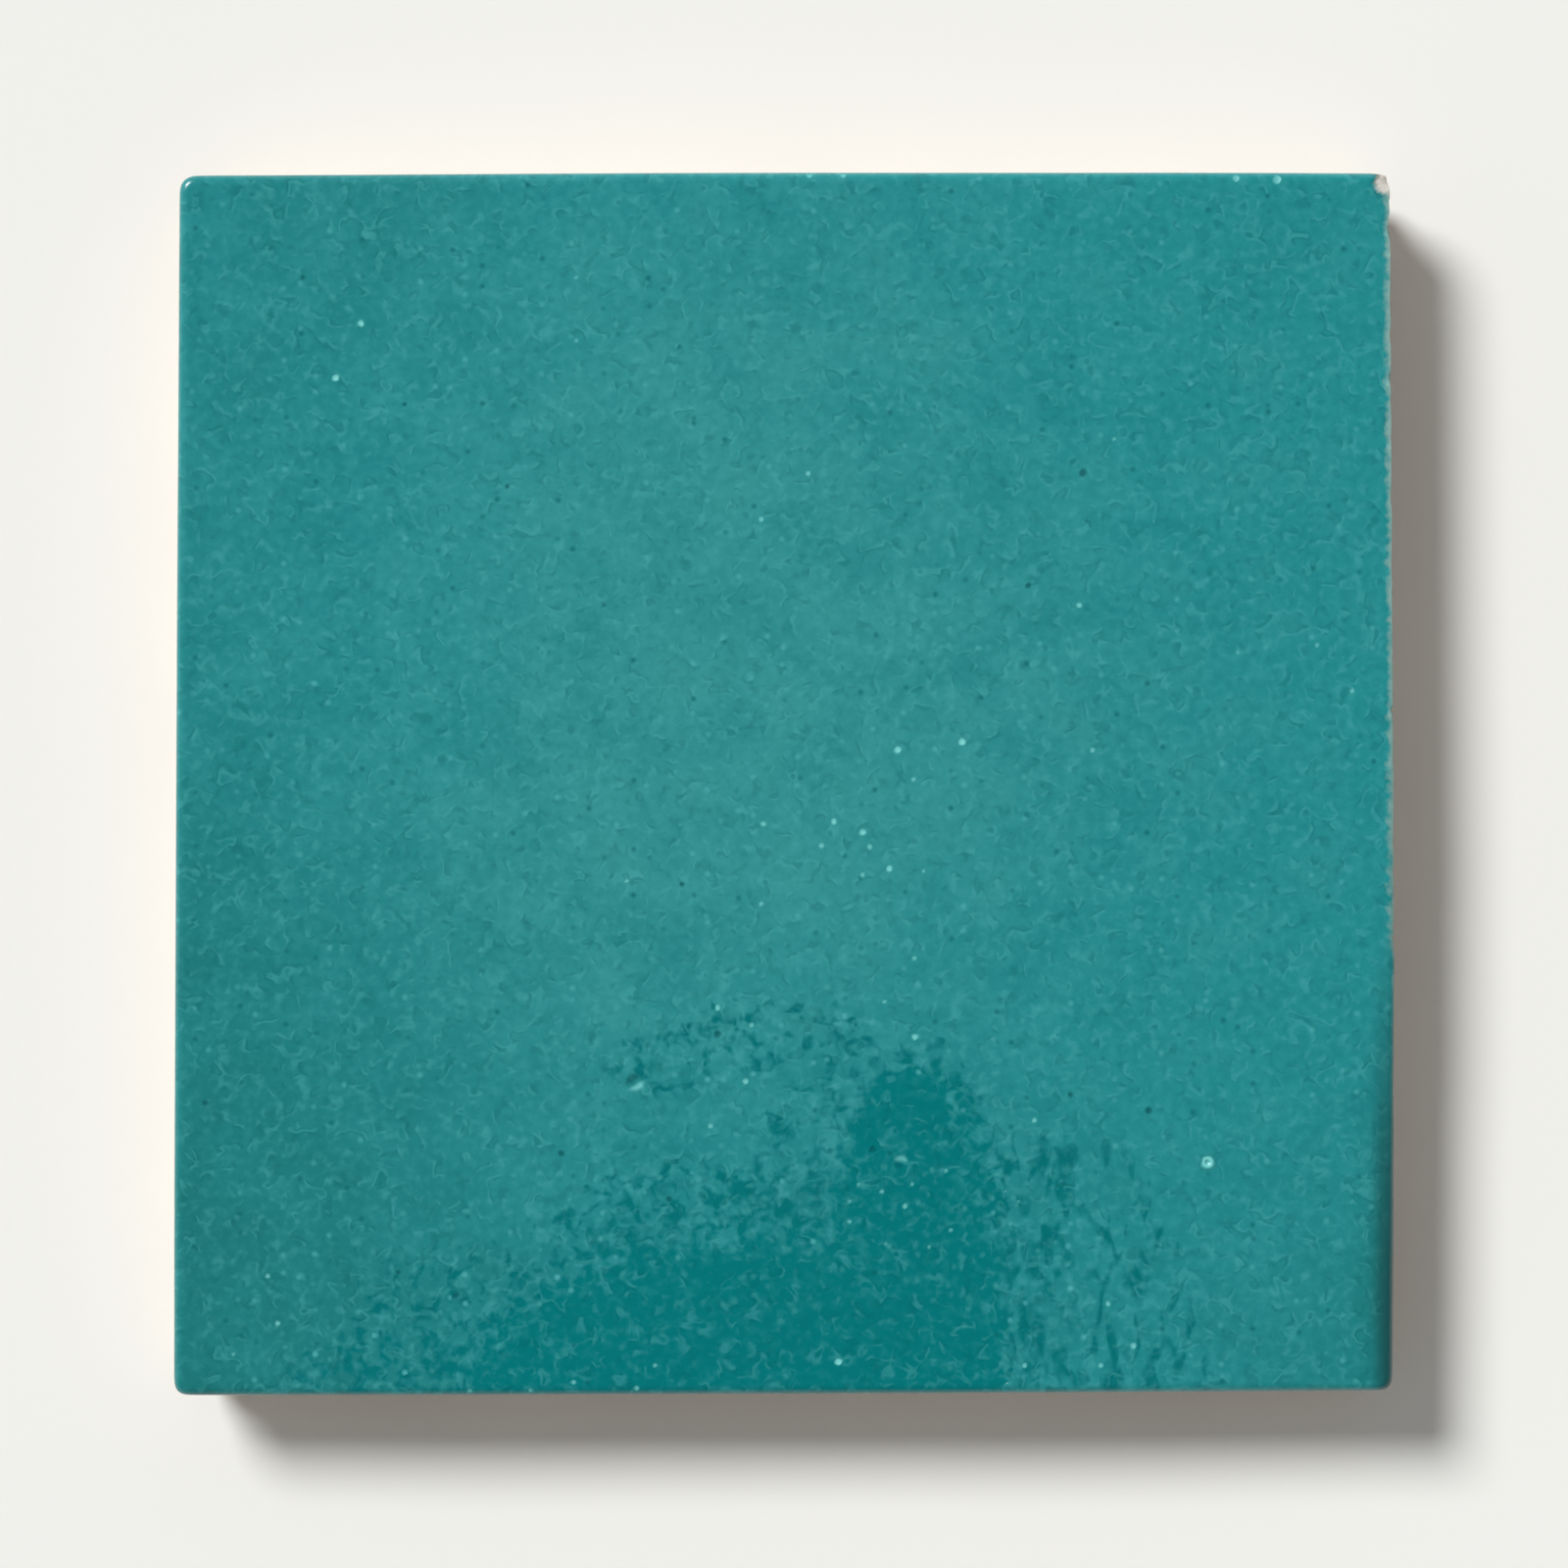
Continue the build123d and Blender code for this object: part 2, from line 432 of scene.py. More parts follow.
def evened(heights, rounds):
    """A grid of heights, evened out so that the solid's facets don't show."""
    for _ in range(rounds):
        padded = np.pad(heights, 1, mode="edge")
        across = (padded[1:-1, :-2] + 2 * padded[1:-1, 1:-1] + padded[1:-1, 2:]) / 4
        padded = np.pad(across, ((1, 1), (0, 0)), mode="edge")
        heights = (padded[:-2] + 2 * padded[1:-1] + padded[2:]) / 4
    return heights


def sink(x, y, shell):
    """How far the face sinks near the lower part of the right edge."""
    along = smooth_share(-y, -SINK_FROM, -SINK_FULL)
    across = max(0.0, 1 - (shell.high.x - x) / SINK_WIDTH)
    return SINK_DEPTH * along * across * across


def face_grid(shell, shape, build):
    """The face as a grid that is fitted to the outline, with a column at each border point."""
    cells = shape.face_cells
    bmesh.ops.create_grid(build, x_segments=cells, y_segments=cells, size=1.0)
    ring = build.verts.layers.int.new("ring_place")
    middle = (shell.low + shell.high) / 2
    half = (shell.high - shell.low) / 2
    grid = {}
    columns = {}
    for vert in build.verts:
        i = round((vert.co.x + 1) / 2 * cells)
        j = round((vert.co.y + 1) / 2 * cells)
        square = Vector((middle.x + vert.co.x * half.x, middle.y + vert.co.y * half.y, 0))
        anchor = fitted_anchor(square, shell)
        away = square - anchor
        vert[ring] = -1
        vert.co = square
        if away.length > 0:
            column = Column(shell, anchor, away.normalized())
            share = max(abs(away.x), abs(away.y)) / EDGE_BAND
            vert.co = anchor + column.out * (column.start - anchor).dot(column.out) * share
            if i in (0, cells) or j in (0, cells):
                vert[ring] = ring_place(i, j, cells)
                columns[vert[ring]] = column
        grid[i, j] = vert
    heights = np.array([[shell.height(*grid[i, j].co.xy) for i in range(cells + 1)]
                        for j in range(cells + 1)])
    even = evened(heights, SMOOTHING_ROUNDS)
    for (i, j), vert in grid.items():
        x, y = vert.co.xy
        ripple = shape.ripple_height / MM * (waves(Vector((x, y, 0)), RIPPLES) - 1)
        vert.co.z = even[j, i] + ripple - sink(x, y, shell)
        if vert[ring] >= 0:
            columns[vert[ring]].rise = vert.co.z - heights[j, i]
    return columns


def glaze_lip(column, shape):
    """How far below the face's edge the glaze ends on a column."""
    line = column.line()
    rolled = shape.glaze_run / MM * (1 + waves(line, RUN_WAVES))
    rolled += DRIP_LENGTH * max(wander(line, DRIP_SPACING, 14.9) - DRIP_RARITY, 0.0)
    cut = shape.glaze_thickness / MM * (1 + 0.5 * wander(line, 1.7, 9.1))
    return rolled + (cut - rolled) * smooth_share(column.crisp, 0.2, 0.8)


def flake_hollow(point, shape):
    """How deep the clay is broken away at a point, by flakes and by grit."""
    size = shape.flake_size / MM
    distances, centres = noise.voronoi(point / size)
    own = LEAST_FLAKE + (1 - LEAST_FLAKE) * abs(noise.cell(centres[0] * 7.7))
    flake = own * max(0.0, 1 - (distances[0] / FLAKE_REACH) ** 2)
    grit = noise.fractal(point / GRIT_SIZE, 0.8, 2.0, 2) + 1
    return shape.flake_depth / MM * flake + shape.grit_depth / MM * grit


def blunt_corner(column, point, shape):
    """How far an upright corner is knocked blunt at a point."""
    turned = abs(2 * column.out.x * column.out.y)
    depth = CORNER_BLUNTING * shape.flake_depth / MM
    return depth * turned ** 6 * (0.6 + wander(point, 2.2, 4.1))


def edge_bite(line):
    """How deep the small bites are that the glaze lost along a crisp edge."""
    distances, centres = noise.voronoi(line / BITE_SPACING)
    own = max(0.0, noise.cell(centres[0] * 5.3))
    return BITE_DEPTH * own * max(0.0, 1 - (distances[0] / BITE_WIDTH) ** 2)


def skin_ring(build, edges, shape_point):
    """Draws one more ring of the skin out of its border, each point put in its place."""
    made = bmesh.ops.extrude_edge_only(build, edges=edges)["geom"]
    ring = build.verts.layers.int["ring_place"]
    verts = [item for item in made if isinstance(item, bmesh.types.BMVert)]
    for vert in verts:
        shape_point(vert, vert[ring])
    border = [item for item in made if isinstance(item, bmesh.types.BMEdge) and item.is_boundary]
    return verts, border


def add_arris(build, columns, lips, edges):
    """The skin over the arris: rolled glaze, or a crisp edge with small bites."""
    ring = build.verts.layers.int["ring_place"]
    depth_layer = build.verts.layers.float["depth_below_lip"]
    crisp_layer = build.verts.layers.float["crisp_edge"]
    rolled = []
    for angle in ARRIS_ANGLES[1:]:
        def on_arris(vert, key):
            column = columns[key]
            point = column.arris_point(angle)
            across = (point - column.anchor).dot(column.out)
            below = column.top - point.z
            fade = 1 - smooth_share(below, 0.0, EDGE_BAND)
            bite = edge_bite(column.line()) * column.crisp * smooth_share(below + across, 0.3, 1.0)
            vert.co = point + UP * column.rise * fade - column.out * bite
            past = below if angle > ARRIS_MIDDLE else across - column.edge
            vert[depth_layer] = past - lips[key]
            away = column.edge - across + below
            vert[crisp_layer] = column.crisp * math.exp(-away / WORN_WIDTH)
        verts, edges = skin_ring(build, edges, on_arris)
        rolled += [vert for vert in verts if columns[vert[ring]].crisp < 0.3]
    for _ in range(ARRIS_SMOOTHING):
        bmesh.ops.smooth_vert(
            build, verts=rolled, factor=0.5, use_axis_x=True, use_axis_y=True, use_axis_z=True)
    return edges


def add_flanks(build, columns, lips, edges, shape):
    """The struck flanks, with the glaze's lip, the flakes and the grit."""
    depth_layer = build.verts.layers.float["depth_below_lip"]
    for number in range(1, FLANK_RINGS + 1):
        def on_flank(vert, key):
            column = columns[key]
            z = column.arris_point(ARRIS_ANGLES[-1]).z * (1 - number / FLANK_RINGS)
            reach = column.shell.reach(column.anchor, column.out, max(z, ABOVE_BACK))
            point = column.anchor + column.out * reach
            point.z = z
            depth = column.top - z - lips[key]
            struck = smooth_share(depth, -0.1, 0.4)
            broken = flake_hollow(point, shape) + blunt_corner(column, point, shape)
            vert.co = point - column.out * (CLAY_SETBACK + broken) * struck
            vert[depth_layer] = depth
        _, edges = skin_ring(build, edges, on_flank)
    return edges


def close_back(build, edges):
    """Closes the flat back with a few coarser rings and a middle."""
    ring = build.verts.layers.int["ring_place"]
    rim = {vert[ring]: vert.co.copy() for edge in edges for vert in edge.verts}
    middle = Vector((0, 0, 0))
    step = 1
    for share in BACK_RINGS:
        def on_back(vert, key):
            vert.co = rim[key].lerp(middle, share)
        verts, _ = skin_ring(build, edges, on_back)
        places = {vert[ring]: vert for vert in verts}
        pairs = {places[key]: places[key - step] for key in places if (key // step) % 2}
        bmesh.ops.weld_verts(build, targetmap=pairs)
        step *= 2
        edges = [edge for edge in build.edges if edge.is_boundary]
    lid = bmesh.ops.contextual_create(build, geom=edges)["faces"]
    bmesh.ops.poke(build, faces=lid)


def tile_skin(shell, shape, build):
    """The whole skin as one closed mesh: face, arris, flanks and back."""
    columns = face_grid(shell, shape, build)
    depth_layer = build.verts.layers.float.new("depth_below_lip")
    build.verts.layers.float.new("crisp_edge")
    for vert in build.verts:
        vert[depth_layer] = -EDGE_BAND
    lips = {key: glaze_lip(column, shape) for key, column in columns.items()}
    edges = [edge for edge in build.edges if edge.is_boundary]
    edges = add_arris(build, columns, lips, edges)
    edges = add_flanks(build, columns, lips, edges, shape)
    close_back(build, edges)
    bmesh.ops.recalc_face_normals(build, faces=build.faces)


def finer_near_marks(build, marks):
    """Cuts the mesh of the face finer around each mark."""
    build.normal_update()
    faces = [face for face in build.faces if face.normal.z > 0.7]
    tree = KDTree(len(faces))
    for index, face in enumerate(faces):
        middle = face.calc_center_median()
        tree.insert((middle.x, middle.y, 0), index)
    tree.balance()
    fine = set()
    for _, x, y, radius, _ in marks:
        for _, index, _ in tree.find_range((x, y, 0), FINE_SHARE * radius + FINE_MARGIN):
            fine.update(faces[index].edges)
    bmesh.ops.subdivide_edges(build, edges=list(fine), cuts=3, use_grid_fill=True)


def add_marks(build):
    """Pinholes, nicks, burst bubbles, pits, specks and the broken corner."""
    marks = [("pinhole", x, y, radius, 0) for x, y, radius in PINHOLES]
    marks += [("nick", x, y, radius, 0) for x, y, radius in EDGE_NICKS]
    marks += [("bubble", x, y, radius, 0) for x, y, radius in BUBBLES]
    marks += [("pit", x, y, radius, bearing) for x, y, radius, bearing in PITS]
    marks += [("speck", x, y, radius, 0) for x, y, radius in SPECKS]
    finer_near_marks(build, marks)
    marks.append(("break", *CORNER_BREAK, 0))
    layers = {
        name: build.verts.layers.float.new(name)
        for name in ("pale_glass_and_lit_wall", "bare_clay", "iron_speck_and_shade")
    }
    verts = [vert for vert in build.verts if vert.co.z > MARKS_ABOVE]
    tree = KDTree(len(verts))
    for index, vert in enumerate(verts):
        tree.insert((vert.co.x, vert.co.y, 0), index)
    tree.balance()
    for kind, x, y, radius, bearing in marks:
        for _, index, _ in tree.find_range((x, y, 0), radius * 2):
            vert = verts[index]
            uneven = 1 + 0.3 * wander(vert.co, radius * 1.3, x)
            away = Vector((vert.co.x - x, vert.co.y - y, 0)) / (radius * uneven)
            mark_vert(vert, kind, away, radius, bearing, layers)


def mark_vert(vert, kind, away, radius, bearing, layers):
    """Sinks or raises a point near a mark, and notes what shows there."""
    share = away.length
    bowl = max(0.0, 1 - share * share)
    near = smooth_share(1.25 - share, 0.0, 0.6)
    glass = vert[layers["pale_glass_and_lit_wall"]]
    vert.co.z -= BOWL_DEPTHS.get(kind, 0.0) * radius * bowl
    if kind == "pinhole":
        vert[layers["pale_glass_and_lit_wall"]] = max(glass, near * (4.0 * radius - 0.2))
    elif kind == "nick":
        vert[layers["pale_glass_and_lit_wall"]] = max(glass, 0.55 * near)
    elif kind == "bubble":
        ring = math.exp(-((share - 0.68) / 0.34) ** 2)
        crater = max(0.0, 1 - (share / 0.5) ** 2)
        vert.co.z += radius * (0.1 * ring - 0.25 * crater)
        vert[layers["pale_glass_and_lit_wall"]] = max(glass, ring, 0.5 * near)
        vert[layers["iron_speck_and_shade"]] = 0.35 * math.exp(-((share - 1.3) / 0.16) ** 2)
    elif kind == "pit":
        turn = math.radians(bearing)
        side = away.x * math.cos(turn) + away.y * math.sin(turn)
        # The pale wall is painted light and the dark wall painted shade, on a bowl kept shallow
        vert[layers["pale_glass_and_lit_wall"]] = max(glass, 0.5 * near * smooth_share(side, 0.0, 0.5))
        vert[layers["iron_speck_and_shade"]] = 0.6 * near * smooth_share(-side, 0.0, 0.5)
    elif kind == "break":
        vert[layers["bare_clay"]] = smooth_share(1.15 - share, 0.0, 0.35)
        vert[layers["iron_speck_and_shade"]] = 0.4 * math.exp(-((share - 1.2) / 0.15) ** 2)
    elif kind == "speck":
        vert[layers["iron_speck_and_shade"]] = max(vert[layers["iron_speck_and_shade"]], 0.75 * near)


def add_face_fields(build):
    """Notes on each point how clear the glaze is, how milky with its painted sheen, how much painted
    shade darkens it, and the painted shade along the rolled right edge.
    """
    pool = build.verts.layers.float.new("pool_without_painted_sheen")
    film = build.verts.layers.float.new("milky_film_and_sheen")
    # Painted shade on the glaze
    shade = build.verts.layers.float.new("deep_shade")
    # Painted shade along the lower right rolled edge
    thick = build.verts.layers.float.new("roll_painted_shade")
    for vert in build.verts:
        x, y, _ = vert.co
        thinned = POOL_THINNED * smooth_share(x, POOL_THINS_FROM, POOL_THINS_TO)
        vert[pool] = max(fullness(POOLS, x, y) * (1 - thinned), fullness(OUTSKIRTS, x, y))
        vert[film] = cloudiness(FILM_AND_SHEEN_CLOUDS, x, y)
        vert[shade] = cloudiness(SHADE_CLOUDS, x, y)
        nearwards = smooth_share(-y, -ROLL_SHADE_FROM, -ROLL_SHADE_FULL)
        vert[thick] = nearwards * smooth_share(x, ROLL_SHADE_INNER, ROLL_SHADE_OUTER)


def add_node(tree, kind, inputs=None, **settings):
    """Adds a node with its settings, and fills or links its inputs by name or by number."""
    made = tree.nodes.new(kind)
    for name, value in settings.items():
        setattr(made, name, value)
    for key, value in (inputs or {}).items():
        named = [socket for socket in made.inputs if socket.enabled and socket.name == key]
        socket = named[0] if named else made.inputs[key]
        if isinstance(value, bpy.types.Node):
            value = next(output for output in value.outputs if output.enabled)
        if isinstance(value, bpy.types.NodeSocket):
            tree.links.new(value, socket)
        else:
            socket.default_value = value
    return made


def new_material(name):
    """An empty material, and its tree."""
    material = bpy.data.materials.new(name)
    material.use_nodes = True
    material.node_tree.nodes.clear()
    return material, material.node_tree


def per(millimetres):
    """The scale of a pattern whose features are that large."""
    return 1 / (millimetres * MM)


def pattern_place(tree):
    """The place on the object that every pattern is laid out by."""
    place = add_node(tree, "ShaderNodeTexCoord")
    return add_node(
        tree, "ShaderNodeMapping",
        {"Vector": place.outputs["Object"], "Location": PATTERN_SHIFT})


def tinted(tree, colour, layers):
    """A colour with tints laid over it one by one, each by its share."""
    for share, tint in layers:
        colour = add_node(
            tree, "ShaderNodeMix", {"Factor": share, "A": colour, "B": tint}, data_type="RGBA")
    return colour


def glaze_clouds(tree, spot):
    """The shares of milky film with its painted sheen and of painted shade, wandering around the
    fields of the mesh.
    """
    cloud = add_node(
        tree, "ShaderNodeTexNoise", {"Vector": spot, "Scale": per(5.5), "Detail": 3.0})
    lighter = add_node(
        tree, "ShaderNodeMapRange",
        {"Value": cloud, "From Min": 0.2, "From Max": 0.8, "To Min": -0.3, "To Max": 0.3})
    film = add_node(tree, "ShaderNodeAttribute", attribute_name="milky_film_and_sheen")
    haze = add_node(
        tree, "ShaderNodeMath", {0: film.outputs["Fac"], 1: lighter}, operation="ADD")
    shade = add_node(tree, "ShaderNodeAttribute", attribute_name="deep_shade")
    dusk = add_node(
        tree, "ShaderNodeMath", {0: shade.outputs["Fac"], 1: lighter}, operation="SUBTRACT")
    return haze, dusk, cloud


def drawn_out(tree, spot, cloud):
    """The pattern's place, drawn out into streaks beyond the right edge of the pool."""
    place = add_node(tree, "ShaderNodeTexCoord")
    across = add_node(tree, "ShaderNodeSeparateXYZ", {"Vector": place.outputs["Object"]})
    beyond = add_node(
        tree, "ShaderNodeMath", {0: cloud, 1: STREAKS_WANDER * MM, 2: across.outputs["X"]},
        operation="MULTIPLY_ADD")
    beyond = add_node(
        tree, "ShaderNodeMath", {0: beyond, 1: STREAKS_FROM * MM}, operation="GREATER_THAN")
    drawn = add_node(
        tree, "ShaderNodeMapping",
        {"Vector": spot, "Rotation": (0, 0, -0.3), "Scale": (1.05, 0.45, 1)})
    return add_node(
        tree, "ShaderNodeMix", {"Factor": beyond, "A": spot, "B": drawn}, data_type="VECTOR")


def pool_share(tree, spot, cloud, field):
    """Where the glaze shows clear, without the painted sheen: a pool, broken into flecks and streaks
    around it, and islands.
    """
    fleck = add_node(
        tree, "ShaderNodeTexNoise",
        {"Vector": drawn_out(tree, spot, cloud), "Scale": per(1.3), "Detail": 1.3,
         "Distortion": 0.6})
    level = add_node(
        tree, "ShaderNodeMapRange", {"Value": fleck, "From Min": 0.3, "From Max": 0.7, "To Min": 0.2})
    over = add_node(tree, "ShaderNodeMath", {0: field, 1: level}, operation="SUBTRACT")
    pool = add_node(
        tree, "ShaderNodeMapRange", {"Value": over, "From Min": -0.2, "From Max": 0.24},
        interpolation_type="SMOOTHSTEP")
    alone = add_node(
        tree, "ShaderNodeMapRange",
        {"Value": field, "From Min": 0.35, "From Max": 0.8,
         "To Min": 0.55, "To Max": 0.0})
    island = add_node(tree, "ShaderNodeMath", {0: pool, 1: alone}, operation="MULTIPLY")
    return pool, island


def liveliness(tree, field):
    """How lively the glaze is broken up: more around the pool, and less in its deep part."""
    around = add_node(
        tree, "ShaderNodeMapRange",
        {"Value": field, "From Min": 0.2, "From Max": 0.45, "To Min": 1.0, "To Max": 1.8})
    deep = add_node(
        tree, "ShaderNodeMapRange",
        {"Value": field, "From Min": 0.8, "From Max": 1.0, "To Min": 1.0, "To Max": 0.3})
    return add_node(tree, "ShaderNodeMath", {0: around, 1: deep}, operation="MULTIPLY")


def melt_waves(tree, spot, lively):
    """The small waves of the melt, with painted sheen on their crests and painted shade in their
    troughs.
    """
    melt = add_node(
        tree, "ShaderNodeTexNoise",
        {"Vector": spot, "Scale": per(0.85), "Detail": 2.0, "Distortion": 0.2})
    pale = add_node(
        tree, "ShaderNodeMapRange",
        {"Value": melt, "From Min": 0.5, "From Max": 0.74, "To Min": 0.0, "To Max": 0.14})
    pale = add_node(tree, "ShaderNodeMath", {0: pale, 1: lively}, operation="MULTIPLY")
    dark = add_node(
        tree, "ShaderNodeMapRange",
        {"Value": melt, "From Min": 0.5, "From Max": 0.26, "To Min": 0.0, "To Max": 0.2})
    return pale, dark, melt


def melt_folds(tree, spot):
    """Short thin folds in the melt, drawn in colour only, each a painted highlight beside a line of
    painted shade.
    """
    fold = add_node(
        tree, "ShaderNodeTexNoise",
        {"Vector": spot, "Scale": per(1.6), "Detail": 1.5, "Distortion": 0.5})
    broken = add_node(
        tree, "ShaderNodeTexNoise", {"Vector": spot, "Scale": per(1.1), "Detail": 1.0})
    amount = add_node(
        tree, "ShaderNodeMapRange",
        {"Value": broken, "From Min": 0.45, "From Max": 0.64, "To Min": 0.0, "To Max": 0.26})
    sides = []
    for height in (0.53, 0.43):
        away = add_node(tree, "ShaderNodeMath", {0: fold, 1: height}, operation="SUBTRACT")
        away = add_node(tree, "ShaderNodeMath", {0: away}, operation="ABSOLUTE")
        side = add_node(
            tree, "ShaderNodeMapRange",
            {"Value": away, "From Min": 0.0, "From Max": 0.085, "To Min": 1.0, "To Max": 0.0},
            interpolation_type="SMOOTHSTEP")
        sides.append(
            add_node(tree, "ShaderNodeMath", {0: side, 1: amount}, operation="MULTIPLY"))
    return sides


def melt_dots(tree, spot, lively):
    """Tiny scattered dots in the glaze, pale ones and dark ones."""
    cells = add_node(tree, "ShaderNodeTexVoronoi", {"Vector": spot, "Scale": per(1.25)})
    dot = add_node(
        tree, "ShaderNodeMapRange",
        {"Value": cells.outputs["Distance"], "From Min": 0.05, "From Max": 0.27,
         "To Min": 1.0, "To Max": 0.0})
    own = add_node(tree, "ShaderNodeSeparateColor", {"Color": cells.outputs["Color"]})
    pale = add_node(
        tree, "ShaderNodeMapRange",
        {"Value": own, "From Min": 0.66, "From Max": 0.9, "To Min": 0.0, "To Max": 0.5})
    pale = add_node(tree, "ShaderNodeMath", {0: pale, 1: dot}, operation="MULTIPLY")
    pale = add_node(tree, "ShaderNodeMath", {0: pale, 1: lively}, operation="MULTIPLY")
    dark = add_node(
        tree, "ShaderNodeMapRange",
        {"Value": own, "From Min": 0.16, "From Max": 0.08, "To Min": 0.0, "To Max": 0.8})
    dark = add_node(tree, "ShaderNodeMath", {0: dark, 1: dot}, operation="MULTIPLY")
    return pale, dark


def glaze_look(tree, finish, spot):
    """The colour, the roughness and the relief of the glaze; the colour holds painted sheen, painted
    shade and painted highlights.
    """
    field = add_node(tree, "ShaderNodeAttribute", attribute_name="pool_without_painted_sheen").outputs["Fac"]
    haze, dusk, cloud = glaze_clouds(tree, spot)
    pool, island = pool_share(tree, spot, cloud, field)
    lively = liveliness(tree, field)
    wave_sheen, wave_shade, melt = melt_waves(tree, spot, lively)
    fold_highlight, fold_shade = melt_folds(tree, spot)
    pale_dot, dark_dot = melt_dots(tree, spot, lively)
    glass = add_node(tree, "ShaderNodeAttribute", attribute_name="pale_glass_and_lit_wall")
    speck = add_node(tree, "ShaderNodeAttribute", attribute_name="iron_speck_and_shade")
    # The painted shade along the lower right rolled edge
    thick = add_node(tree, "ShaderNodeAttribute", attribute_name="roll_painted_shade")
    colour = tinted(tree, finish.clear, (
        (haze, finish.film),
        (dusk, finish.shade),
        (pool, finish.pool),
        (island, finish.trough),
        (wave_shade, finish.trough),
        (wave_sheen, finish.crest),
        (fold_shade, finish.deep),
        (fold_highlight, finish.crest),
        (dark_dot, finish.trough),
        (pale_dot, finish.crest),
        (thick.outputs["Fac"], finish.thick),
        (glass.outputs["Fac"], finish.bubble),
        (speck.outputs["Fac"], finish.speck),
    ))
    rough = add_node(
        tree, "ShaderNodeMix", {"Factor": pool, "A": CLOUDED_ROUGHNESS, "B": CLEAR_ROUGHNESS})
    rough = add_node(
        tree, "ShaderNodeMix",
        {"Factor": glass.outputs["Fac"], "A": rough, "B": PINHOLE_ROUGHNESS})
    relief = add_node(
        tree, "ShaderNodeBump", {"Height": melt, "Strength": 0.5, "Distance": 0.03 * MM})
    relief = add_node(
        tree, "ShaderNodeBump",
        {"Height": pool, "Strength": 1.0, "Distance": 0.008 * MM, "Normal": relief}, invert=True)
    return colour, rough, relief


def glaze_material(finish):
    """Copper glaze fired glossy: a clouded blue-green glass, clear and dark where it pooled, with
    painted sheen and painted shade in its colour.
    """
    material, tree = new_material("Glossy copper glaze")
    colour, rough, relief = glaze_look(tree, finish, pattern_place(tree))
    bare = add_node(tree, "ShaderNodeAttribute", attribute_name="bare_clay").outputs["Fac"]
    surface = add_node(tree, "ShaderNodeBsdfPrincipled", {
        "Base Color": tinted(tree, colour, ((bare, finish.clay_fresh),)),
        "Roughness": add_node(
            tree, "ShaderNodeMix", {"Factor": bare, "A": rough, "B": FRESH_CLAY_ROUGHNESS}),
        "IOR": GLAZE_IOR,
        "Normal": relief,
    })
    add_node(tree, "ShaderNodeOutputMaterial", {"Surface": surface})
    return material


def clay_look(tree, finish, spot):
    """The colour and relief of low-fired, sandy clay.

    The real sand is finer than 0.3 mm, too fine to show, so it is drawn at 0.6 mm.
    """
    patch = add_node(tree, "ShaderNodeTexNoise", {"Vector": spot, "Scale": per(7.0), "Detail": 4.0})
    patch = add_node(
        tree, "ShaderNodeMapRange", {"Value": patch, "From Min": 0.4, "From Max": 0.8})
    sand = add_node(
        tree, "ShaderNodeTexNoise",
        {"Vector": spot, "Scale": per(0.6), "Detail": 4.0, "Roughness": 0.65})
    grains = add_node(tree, "ShaderNodeTexVoronoi", {"Vector": spot, "Scale": per(1.1)})
    # The pores are painted darker, as painted shade in their hollows
    pore_shade = add_node(
        tree, "ShaderNodeMapRange",
        {"Value": grains.outputs["Distance"], "From Min": 0.1, "From Max": 0.24,
         "To Min": 0.6, "To Max": 0.0})
    pale = add_node(
        tree, "ShaderNodeMapRange",
        {"Value": sand, "From Min": 0.5, "From Max": 0.7, "To Min": 0.0, "To Max": 0.45})
    bare = add_node(tree, "ShaderNodeAttribute", attribute_name="bare_clay")
    colour = tinted(tree, finish.clay, (
        (patch, finish.clay_dark),
        (pore_shade, finish.clay_dark),
        (pale, finish.clay_fresh),
        (bare.outputs["Fac"], finish.clay_fresh),
    ))
    height = add_node(
        tree, "ShaderNodeMath", {0: pore_shade, 1: -0.8, 2: sand}, operation="MULTIPLY_ADD")
    relief = add_node(
        tree, "ShaderNodeBump", {"Height": height, "Strength": 1.0, "Distance": 0.14 * MM})
    return colour, relief


def glaze_end(tree, spot):
    """How the glaze ends: the share of bare clay, the thin lip, and the worn line of an edge."""
    ragged = add_node(
        tree, "ShaderNodeTexNoise", {"Vector": spot, "Scale": per(0.8), "Detail": 3.0})
    depth = add_node(tree, "ShaderNodeAttribute", attribute_name="depth_below_lip")
    past = add_node(
        tree, "ShaderNodeMath", {0: depth.outputs["Fac"], 1: ragged}, operation="ADD")
    below = add_node(
        tree, "ShaderNodeMapRange", {"Value": past, "From Min": 0.44, "From Max": 0.56})
    bare = add_node(tree, "ShaderNodeAttribute", attribute_name="bare_clay")
    below = add_node(
        tree, "ShaderNodeMath", {0: below, 1: bare.outputs["Fac"]}, operation="MAXIMUM")
    lip = add_node(
        tree, "ShaderNodeMapRange",
        {"Value": past, "From Min": -0.3, "From Max": 0.5, "To Min": 0.0, "To Max": 0.4})
    crisp = add_node(tree, "ShaderNodeAttribute", attribute_name="crisp_edge")
    worn = add_node(
        tree, "ShaderNodeMath", {0: crisp.outputs["Fac"], 1: ragged}, operation="ADD")
    worn = add_node(
        tree, "ShaderNodeMapRange",
        {"Value": worn, "From Min": 0.95, "From Max": 1.35, "To Min": 0.0, "To Max": 0.9})
    return below, lip, worn


